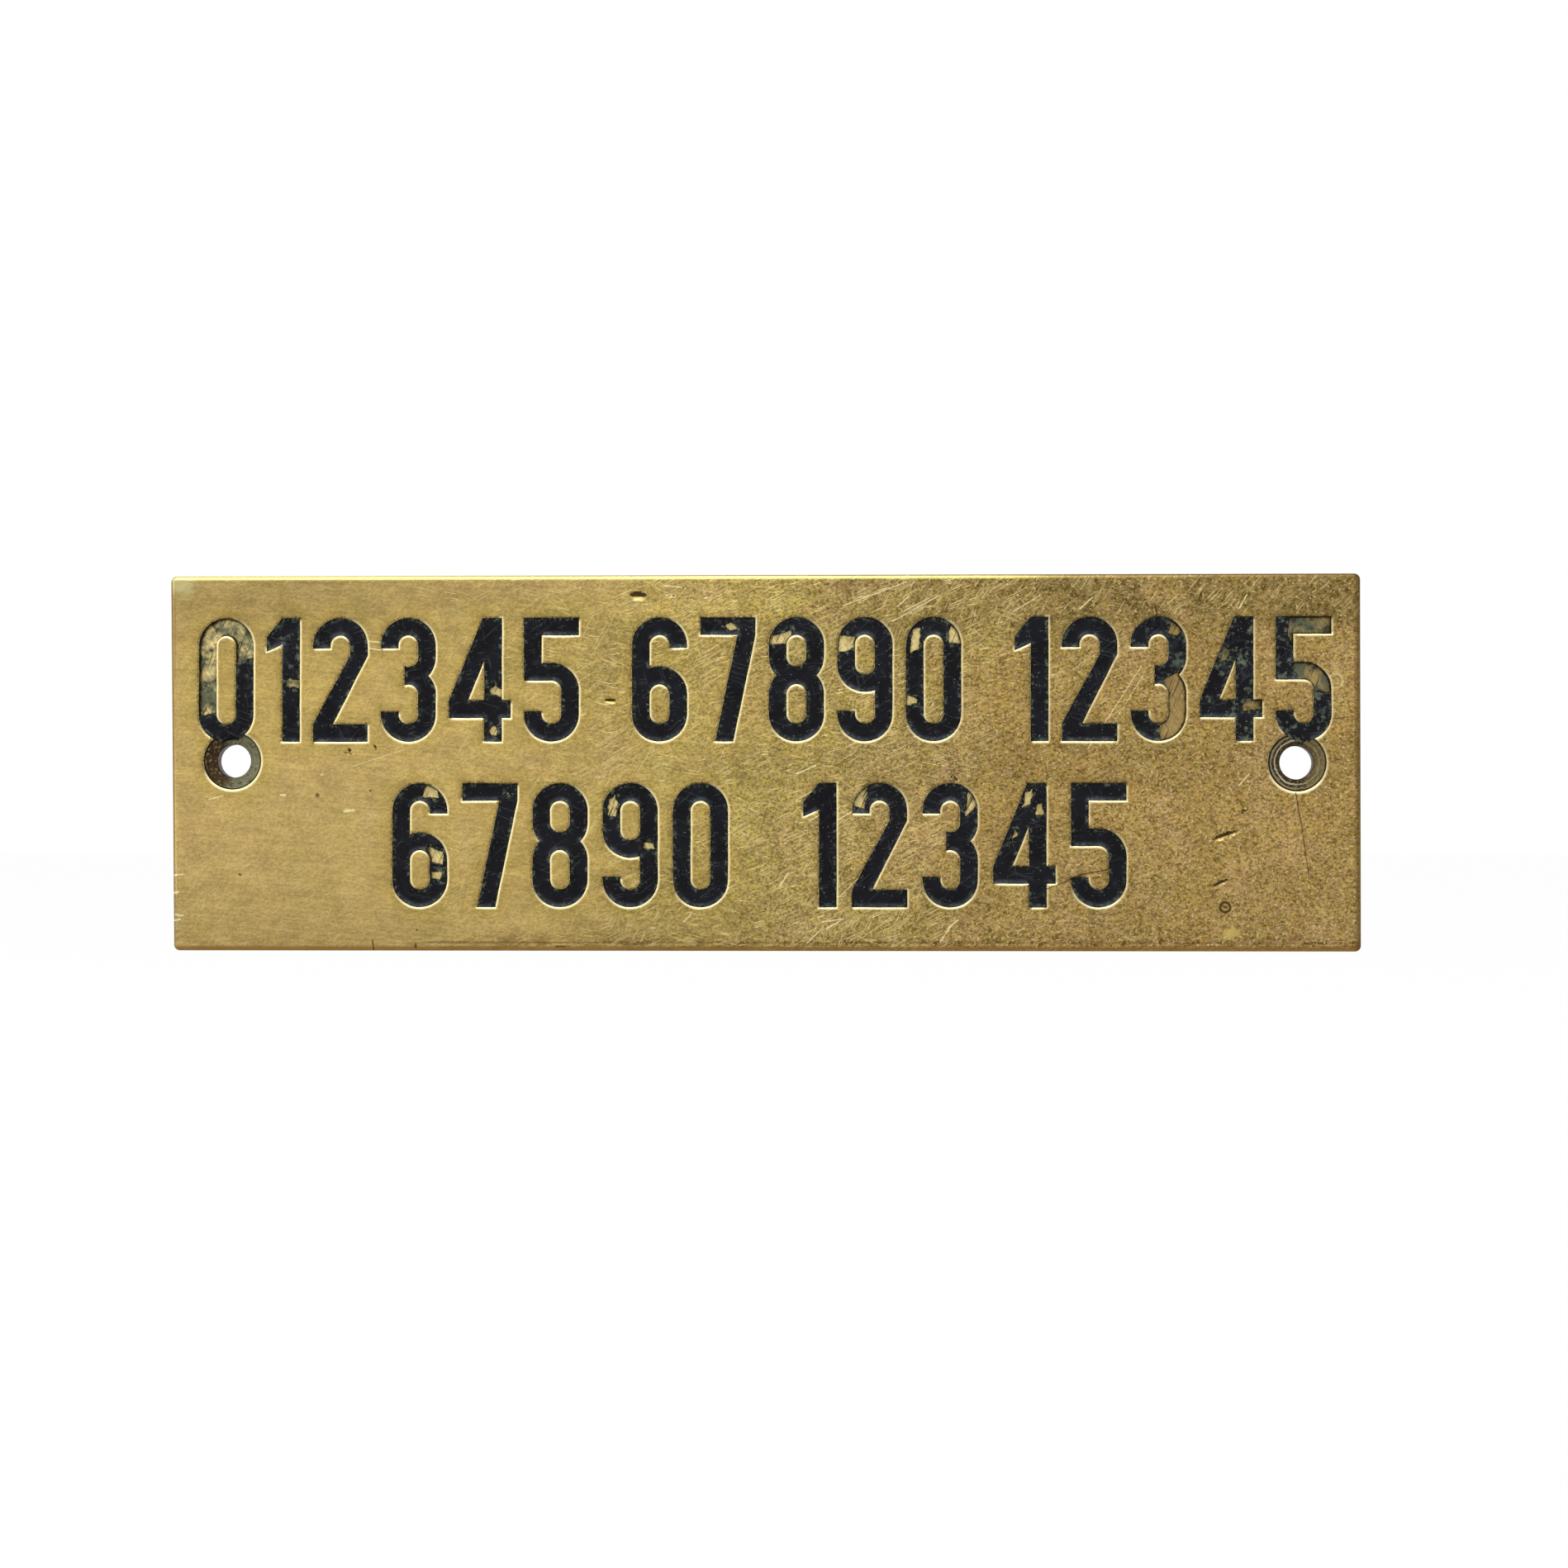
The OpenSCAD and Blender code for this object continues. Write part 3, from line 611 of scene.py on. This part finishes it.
def makeWax():
    material, tree, shader = newMaterial("blackWax", {"Specular IOR Level": 0.12})
    place = inMillimetres(tree)
    parts = addNode(tree, "SeparateXYZ", {0: place}).outputs
    along = parts[0]
    gap, broken, upwards = attribute(tree, "wallGap"), attribute(tree, "brokenGap"), attribute(tree, "wallUp")
    blotch = cloud(tree, place, 1.4, 5, 0.65)
    leftEnd = times(tree, fade(tree, along, -42, -49), fade(tree, parts[1], 7, 12))
    farOut = calc(tree, "MAXIMUM", leftEnd, fade(tree, along, 34, 48))

    def tint(share, over, amount=1):
        return blendColour(tree, times(tree, share, amount), colour, paint(*over))

    soft = fade(tree, cloud(tree, place, 3.2, 3, 0.6, seed=13), 0.36, 0.64)
    colour = blendColour(tree, times(tree, soft, 0.45), paint(*waxLook["black"]), paint(*waxLook["soft"]))
    scuff = times(tree, fade(tree, blotch, 0.52, 0.7), calc(tree, "MULTIPLY_ADD", farOut, 0.5, 0.25))
    colour = tint(scuff, waxLook["scuff"])
    shine = times(tree, fade(tree, gap, 0.6, 0.05), fade(tree, upwards, -0.3, -0.95))
    shine = times(tree, shine, fade(tree, blotch, 0.36, 0.6, 0.3, 1))
    colour = tint(shine, waxLook["shine"], 0.5)
    green = times(tree, useGroup(tree, stain, Place=place, Size=0.8, Share=0.38, Edge=0.12), farOut)
    colour = tint(green, waxLook["green"], 0.65)
    scored = 0
    for turn, length, share in ((-40, 3, 0.04), (20, 4, 0.05), (75, 2, 0.03), (-12, 1.2, 0.07)):
        layer = scratchLayer(tree, place, turn, length, 0.08, share, 0.7)
        scored = calc(tree, "MAXIMUM", scored, layer)
    colour = tint(scored, waxLook["pale"], 0.3)
    speck = fade(tree, cloud(tree, place, 0.2, 1, 0.5, seed=6), 0.72, 0.79)
    colour = tint(times(tree, speck, fade(tree, along, -30, 30, 0.4, 0.9)), waxLook["dust"], 0.6)
    edgeDust = times(tree, fade(tree, gap, 0.16, 0.03), fade(tree, blotch, 0.48, 0.6))
    colour = tint(edgeDust, waxLook["pale"], 0.35)
    crumbs = fade(tree, cloud(tree, place, 0.5, 4, 0.7), 0.52, 0.62)
    crumbled = times(tree, fade(tree, broken, 0.5, 0.1), crumbs)
    colour = tint(crumbled, waxLook["green"], 0.55)
    rough = calc(tree, "MULTIPLY_ADD", blotch, 0.3, waxLook["rough"] - 0.1)
    height = calc(tree, "MULTIPLY_ADD", scored, -0.5, blotch)
    dress(tree, shader, colour, rough, height, 0.00005)
    return material


faceBrass, cutBrass, seatBrass, backBrass, blackWax = (
    makeFaceBrass(), makeCutBrass(), makeSeatBrass(), makeBackBrass(), makeWax())
print("materials made")


# Plate
plate = {
    "seatRadius": 2.95,  # where a screw seat meets the face
    "rings": (0.04, 0.09, 0.15, 0.26, 0.44),  # distances from a rim at which the face is cut round it
    "rimWidth": 0.2, "rimDrop": 0.09,  # how the rims of the cuts are rounded
    "edgeWidth": 0.44, "edgeDrop": 0.26, "edgeZone": 0.55,  # how the plate's own front edge is rounded
    "backBevel": 0.25, "backZone": 0.5,  # how the edges of the back are rounded
    "floorRing": 0.14,  # distance from the walls at which the floors of the cuts are cut round them
    "grid": 0.7, "across": 60.3, "upwards": 19,  # the spacing of the slices, and how far they go each way
    "wander": 0.03, "wave": 0.01,  # how far the cuts stray and the face waves
}
# Dents: middle along and up, half length, half height, turn in degrees, depth, lean of the deep side upwards
dents = [
    ((-12.64, 16.87), 0.95, 0.5, 0, 0.34, 1), ((-15.45, 6.24), 0.7, 0.24, 0, 0.24, 0.6),
    ((-9.07, 16.9), 0.2, 0.13, -20, 0.08, 0), ((-5.8, 16.8), 0.2, 0.12, 10, 0.08, 0),
    ((46.7, -7.42), 1.4, 0.32, 19, 0.24, 0.5), ((46.25, -12.2), 0.95, 0.24, 27, 0.18, 0.5),
    ((-39.35, 1.6), 0.16, 0.26, 0, 0.14, 0), ((-42.0, 1.2), 0.22, 0.36, -20, 0.1, 0),
    ((19.1, -1.45), 0.2, 0.18, 0, 0.12, 0), ((19.68, -1.78), 0.17, 0.15, 0, 0.1, 0),
    ((48.7, -4.92), 0.3, 0.14, 0, 0.06, 0), ((39.75, 15.5), 0.12, 0.6, 8, 0.1, 0),
]


def openCopy(node):  # a copy of a CAD node in mm, its loose triangles joined into whole faces
    bm = bmesh.new()
    bm.from_mesh(frame["nodes"][node].data)
    bmesh.ops.scale(bm, vec=(1000, 1000, 1000), verts=bm.verts)
    bmesh.ops.remove_doubles(bm, verts=bm.verts, dist=0.001)
    bmesh.ops.dissolve_limit(bm, angle_limit=radians(0.5), verts=bm.verts, edges=bm.edges)
    bm.normal_update()
    return bm


def fromHole(co):  # from the nearest hole's centre, along and up
    return min((Vector((co.x - x, co.z - z)) for x, z in sizes["holes"]), key=lambda way: way.length)


def holeAway(co):
    return fromHole(co).length


def edgeAway(co):
    return min(sizes["halfLength"] - abs(co.x), sizes["halfHeight"] - abs(co.z))


def handCut(co):  # how far the cutter's hand strayed here
    at = Vector((co.x, 0, co.z))
    stray = noise.noise_vector(at * 0.45) + noise.noise_vector(at * 1.7 + Vector((9, 9, 9))) * 0.5
    calm = max(0, min(1, (edgeAway(co) - 0.6), (holeAway(co) - 3.4)))
    return Vector((stray.x, 0, stray.z)) * calm * plate["wander"]


def slices(low, high, step):
    count = int((high - low) / step)
    return [low + step * (i + 0.5) for i in range(count)]


def sliceFaces(bm, faces, axis, places):  # cuts these faces along parallel planes, halving the set as it goes
    if not places or not faces:
        return
    middle = places[len(places) // 2]
    normal = Vector((1, 0, 0)) if axis == 0 else Vector((0, 0, 1))
    corners = [v for f in faces for v in f.verts]
    geom = list(dict.fromkeys([*faces, *(e for f in faces for e in f.edges), *corners]))
    found = bmesh.ops.bisect_plane(
        bm, geom=geom, dist=0.002, plane_co=normal * middle, plane_no=normal)["geom"]
    found = [g for g in found if isinstance(g, bmesh.types.BMFace)]
    pick = 0 if axis == 0 else 2
    lower = [f for f in found if f.calc_center_median()[pick] < middle]
    upper = [f for f in found if f.calc_center_median()[pick] >= middle]
    sliceFaces(bm, lower, axis, places[: len(places) // 2])
    sliceFaces(bm, upper, axis, places[len(places) // 2 + 1:])


def sortPlateFaces(bm):  # material slots: 0 face, 1 cuts, 2 screw seats, 3 edges and back
    for f in bm.faces:
        middle = f.calc_center_median()
        atBack = max(v.co.y for v in f.verts) > layers["back"]
        if f.normal.y > 0.99:
            f.material_index = 3
        elif f.normal.y < -0.99:
            f.material_index = 0 if middle.y < layers["face"] else 1
        elif holeAway(middle) < plate["seatRadius"] and (abs(f.normal.y) > 0.5 or atBack):
            f.material_index = 2
        else:
            f.material_index = 3 if atBack else 1


def rimSamples(bm):  # points along the rims, each with the direction from the cut into the face
    samples = []
    for e in bm.edges:
        kinds = sorted(f.material_index for f in e.link_faces)
        if kinds not in ([0, 1], [0, 2]):
            continue
        wall = [f for f in e.link_faces if f.material_index != 0][0]
        inward = Vector((-wall.normal.x, 0, -wall.normal.z)).normalized()
        first, last = e.verts[0].co, e.verts[1].co
        steps = max(1, int((last - first).length / 0.2))
        for i in range(steps + 1):
            samples.append((first.lerp(last, i / steps), inward))
    tree = KDTree(len(samples))
    for i, (co, inward) in enumerate(samples):
        tree.insert(Vector((co.x, 0, co.z)), i)
    tree.balance()
    return samples, tree


def insetRim(bm, faces, thickness):  # an inset whose corners don't run off where two edges fold back
    longest, drawnIn = thickness * 5.5, thickness * 1.2
    made = bmesh.ops.inset_region(
        bm, faces=faces, thickness=thickness, use_boundary=True, use_even_offset=True)["faces"]
    inner = {v for f in faces for v in f.verts}
    for e in dict.fromkeys(e for f in made for e in f.edges):
        first, second = e.verts
        if (first in inner) != (second in inner):
            fresh, old = (first, second) if first in inner else (second, first)
            way = fresh.co - old.co
            if way.length > longest:
                fresh.co = old.co + way.normalized() * drawnIn
    return made


def smoothFolds(bm, tops):  # evens out the few tiny faces that an inset or a slice turned over
    inner = {v for f in tops for v in f.verts if all(near in tops for near in v.link_faces)}
    for step in range(12):
        bm.normal_update()
        turned = [f for f in tops if f.normal.y > -0.05]
        loose = [v for v in dict.fromkeys(v for f in turned for v in f.verts) if v in inner]
        bmesh.ops.smooth_vert(bm, verts=loose, factor=0.5, use_axis_x=True, use_axis_y=True, use_axis_z=True)


def roundRims(bm):
    ring = bm.verts.layers.float.new("ring")
    face = [f for f in bm.faces if f.material_index == 0]
    border = {v for f in face for v in f.verts}
    for v in bm.verts:
        v[ring] = -1
    for v in border:
        v[ring] = 0
    reached = 0
    for distance in plate["rings"]:
        made = insetRim(bm, face, distance - reached)
        outside = {v for f in made for v in f.verts}
        for v in {v for f in face for v in f.verts} & outside:
            v[ring] = distance
        reached = distance
    for v in bm.verts:
        if v[ring] < 0:
            continue
        onEdge = edgeAway(v.co) < plate["edgeZone"]
        width = plate["edgeWidth"] if onEdge else plate["rimWidth"]
        drop = plate["edgeDrop"] if onEdge else plate["rimDrop"]
        v.co.y += drop * max(0, 1 - v[ring] / width) ** 2


def pressDents(bm):
    dentShadingLayer = bm.verts.layers.float.new("dentShading")  # below 0 on a dent's upper side, above 0 on its lower one
    # the dent's shading value: below 0 it paints shade on the upper side, above 0 a highlight on the lower
    # side
    for (x, z), length, height, turn, depth, lean in dents:
        c, s = cos(radians(turn)), sin(radians(turn))

        def reach(v, margin):  # the dent's own two directions, or nothing where it is too far off
            if max(abs(v.co.x - x), abs(v.co.z - z)) > length + margin or v.co.y > layers["dented"]:
                return None
            u, w = (v.co.x - x) * c + (v.co.z - z) * s, (v.co.z - z) * c - (v.co.x - x) * s
            return (u, w) if abs(u) < length + margin and abs(w) < height + margin else None

        near = [f for f in bm.faces if f.material_index == 0 and reach(f.verts[0], 0.45)]
        cuts = 6 if height < 0.18 else 4
        edges = list(dict.fromkeys(e for f in near for e in f.edges))
        bmesh.ops.subdivide_edges(bm, edges=edges, cuts=cuts, use_grid_fill=True)
        for v in bm.verts:
            at = reach(v, 0)
            if not at:
                continue
            u, w = at[0] / length, at[1] / height
            inside = 1 - u ** 2 - w ** 2 + 0.25 * noise.noise(v.co * 4)
            if inside > 0:
                v.co.y += depth * inside ** 0.6 * (1 - lean / 2 + lean * w / 2)
                v[dentShadingLayer] = -inside ** 0.3 * (w + 0.2)


def makePlate():
    bm = openCopy("plate")
    sortPlateFaces(bm)
    samples, tree = rimSamples(bm)
    backEdges = [
        e for e in bm.edges if len({round(f.normal.y) for f in e.link_faces}) > 1
        and all(v.co.y > layers["back"] and edgeAway(v.co) < plate["backZone"] for v in e.verts)]
    bmesh.ops.bevel(
        bm, geom=backEdges, offset=plate["backBevel"], segments=3, profile=0.5, affect="EDGES", material=-1)
    roundRims(bm)
    floors = [f for f in bm.faces if f.material_index == 1 and f.normal.y < -0.99]
    insetRim(bm, floors, plate["floorRing"])
    print("plate rims rounded,", len(bm.faces), "faces")

    across = slices(-plate["across"], plate["across"], plate["grid"])
    upwards = slices(-plate["upwards"], plate["upwards"], plate["grid"])
    sliceFaces(bm, [f for f in bm.faces if f.material_index in (0, 1) and f.normal.y < -0.5], 0, across)
    sliceFaces(bm, [f for f in bm.faces if f.material_index in (0, 1) and f.normal.y < -0.5], 2, upwards)
    sliceFaces(bm, [f for f in bm.faces if f.material_index == 3], 0, across[::5])
    sliceFaces(bm, [f for f in bm.faces if f.material_index == 3], 2, upwards[::5])
    print("plate sliced,", len(bm.faces), "faces")
    smoothFolds(bm, dict.fromkeys(f for f in bm.faces if f.material_index == 0))
    pressDents(bm)

    values = {name: bm.verts.layers.float.new(name) for name in (
        "rimGap", "rimAcross", "rimUp", "edgeGap", "wall", "seatRadius", "seatAcross", "footGap")}
    for v in bm.verts:
        flat = Vector((v.co.x, 0, v.co.z))
        index, distance = tree.find(flat)[1:]
        inward = samples[index][1]
        v[values["rimGap"]] = min(distance, 3)
        v[values["rimAcross"]], v[values["rimUp"]] = inward.x, inward.z
        v[values["edgeGap"]] = min(edgeAway(v.co), 3)
        v[values["wall"]] = 1 if v.co.y < layers["foot"] else 0
        v[values["seatRadius"]] = holeAway(v.co)
        v[values["seatAcross"]] = fromHole(v.co).x
        v[values["footGap"]] = min(distance, 1)
        if v.co.y < layers["cuts"]:
            stray = handCut(v.co)
            wave = noise.noise(flat * 0.16) + noise.noise(flat * 0.5) * 0.4
            v.co += stray
            if v.co.y < layers["level"] or v.co.y > layers["floor"]:
                v.co.y += plate["wave"] * (1 + wave)
    return bm


def finishPiece(bm, name, node, materials):
    bm.normal_update()
    for e in bm.edges:
        e.smooth = len(e.link_faces) == 2 and e.calc_face_angle(0) < radians(38)
    for f in bm.faces:
        f.smooth = True
    bmesh.ops.scale(bm, vec=(mm, mm, mm), verts=bm.verts)
    mesh = bpy.data.meshes.new(name)
    bm.to_mesh(mesh)
    bm.free()
    for material in materials:
        mesh.materials.append(material)
    piece = bpy.data.objects.new(name, mesh)
    bpy.context.scene.collection.objects.link(piece)
    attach(piece, "root")
    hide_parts(node)
    mesh.calc_loop_triangles()
    return len(mesh.loop_triangles)


plateBm = openCopy("plate")
sortPlateFaces(plateBm)
cutSamples, cutTree = rimSamples(plateBm)
plateBm.free()
count = finishPiece(makePlate(), "brassPlate", "plate", [faceBrass, cutBrass, seatBrass, backBrass])
print("plate made,", count, "triangles")


# Wax
wax = {
    "grid": 0.2, "rim": 0.08,  # how finely the wax is cut, and how far from the walls it is cut round them
    "sink": 0.05, "roll": 0.02,  # how far it has sunk and how much its top rolls
    "tear": 0.18, "slope": 0.1,  # how far its broken edges stray, and lean out at the foot
}


def makeWaxPiece(node):
    bm = openCopy(node)
    tops = [f for f in bm.faces if f.normal.y < -0.99]
    insetRim(bm, tops, wax["rim"])
    low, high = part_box(node)
    sliceFaces(bm, list(bm.faces), 0, slices(low.x * 1000, high.x * 1000, wax["grid"]))
    sliceFaces(bm, list(bm.faces), 2, slices(low.z * 1000, high.z * 1000, wax["grid"]))
    gapLayer, brokenLayer = bm.verts.layers.float.new("wallGap"), bm.verts.layers.float.new("brokenGap")
    upLayer = bm.verts.layers.float.new("wallUp")
    bm.normal_update()
    tops = dict.fromkeys(
        f for f in bm.faces if abs(f.normal.y) > 0.5 and f.calc_center_median().y < layers["waxTop"])
    rim = [v for v in bm.verts if any(abs(f.normal.y) < 0.5 for f in v.link_faces)]
    freeRim = [v for v in rim if cutTree.find(Vector((v.co.x, 0, v.co.z)))[2] > 0.03]
    freeTree = KDTree(max(1, len(freeRim)))
    for i, v in enumerate(freeRim):
        freeTree.insert(Vector((v.co.x, 0, v.co.z)), i)
    freeTree.balance()
    freeSet = set(freeRim)
    for v in bm.verts:
        flat = Vector((v.co.x, 0, v.co.z))
        index, distance = cutTree.find(flat)[1:]
        v[gapLayer], v[upLayer] = min(distance, 2), cutSamples[index][1].z
        v[brokenLayer] = min(freeTree.find(flat)[2], 2) if freeRim else 2
    outwards = {v: sum((f.normal for f in v.link_faces if abs(f.normal.y) < 0.5), Vector()) for v in freeSet}
    for v in bm.verts:
        flat = Vector((v.co.x, 0, v.co.z))
        stray = handCut(v.co)
        if v.co.y < layers["wax"]:
            roll = noise.noise(flat * 1.1) + 0.5 * noise.noise(flat * 3.1)
            v.co.y += wax["sink"] * min(1, v[gapLayer] / 0.5) ** 0.7
            v.co.y += wax["roll"] * roll * min(1, v[gapLayer] / 0.3)
        if v in freeSet:
            tear = noise.noise_vector(flat * 2.6 + Vector((0, v.co.y * 1.4, 0)))
            calm = min(1, v[gapLayer] / 0.3)
            v.co += Vector((tear.x, 0, tear.z)) * wax["tear"] * calm
            if v.co.y > layers["floor"] and outwards[v].length > 0.1:
                v.co += outwards[v].normalized() * wax["slope"] * calm
        v.co += stray
    smoothFolds(bm, tops)
    return bm


total = 0
for node in sorted(n for n in frame["nodes"] if n.startswith("wax")):
    row, number = node.split("_")[1:]
    total += finishPiece(makeWaxPiece(node), "blackWax" + row.capitalize() + number, node, [blackWax])
print("wax made,", total, "triangles")


# Floor, world and lamps
studio = {"floorSize": 6, "floorGlow": 0.97, "ambient": 0.6}


def seenWhite(tree):  # camera, mirror and glass rays meet the white background
    path = addNode(tree, "LightPath").outputs
    seen = calc(tree, "MAXIMUM", path["Is Camera Ray"], path["Is Glossy Ray"])
    return calc(tree, "MAXIMUM", seen, path["Is Transmission Ray"])


world = bpy.data.worlds.new("studio")
world.use_nodes = True
bpy.context.scene.world = world
tree = world.node_tree
ambient = tree.nodes["Background"]
ambient.inputs["Color"].default_value = (0.95, 0.97, 1, 1)
ambient.inputs["Strength"].default_value = studio["ambient"]
white = addNode(tree, "Background", {"Color": (1, 1, 1, 1), "Strength": 1}).outputs[0]
sky = addNode(tree, "MixShader", {0: seenWhite(tree), 1: ambient.outputs[0], 2: white}).outputs[0]
tree.links.new(sky, tree.nodes["World Output"].inputs["Surface"])

material = bpy.data.materials.new("floorWhite")
material.use_nodes = True
tree = material.node_tree
matt = tree.nodes["Principled BSDF"]
matt.inputs["Base Color"].default_value = (0.9, 0.9, 0.9, 1)
matt.inputs["Roughness"].default_value = 0.8
matt.inputs["Specular IOR Level"].default_value = 0
glow = addNode(tree, "Emission", {"Color": (1, 1, 1, 1), "Strength": 1}).outputs[0]
share = times(tree, seenWhite(tree), studio["floorGlow"])
both = addNode(tree, "MixShader", {0: share, 1: matt.outputs[0], 2: glow}).outputs[0]
tree.links.new(both, tree.nodes["Material Output"].inputs["Surface"])
bm = bmesh.new()
bmesh.ops.create_grid(bm, x_segments=1, y_segments=1, size=studio["floorSize"] / 2)
bmesh.ops.translate(bm, vec=(0, 0, cadBox[0][2]), verts=bm.verts)
mesh = bpy.data.meshes.new("floor")
bm.to_mesh(mesh)
bm.free()
mesh.materials.append(material)
floor = bpy.data.objects.new("floor", mesh)
bpy.context.scene.collection.objects.link(floor)

lamps = {  # place, aim, size in metres, watts
    "top": ((-0.05, -0.28, 0.40), (0, 0, 0), 0.3, 1.0),
    "left": ((-0.42, -0.28, 0.10), (0, 0, 0), 0.26, 0.4),
}
for name, (place, aim, size, watts) in lamps.items():
    lamp = bpy.data.lights.new(name, "AREA")
    lamp.shape = "SQUARE"
    lamp.size = size
    lamp.energy = watts
    holder = bpy.data.objects.new(name, lamp)
    holder.location = place
    holder.rotation_euler = (Vector(aim) - Vector(place)).to_track_quat("-Z", "Y").to_euler()
    bpy.context.scene.collection.objects.link(holder)
print("studio lit")
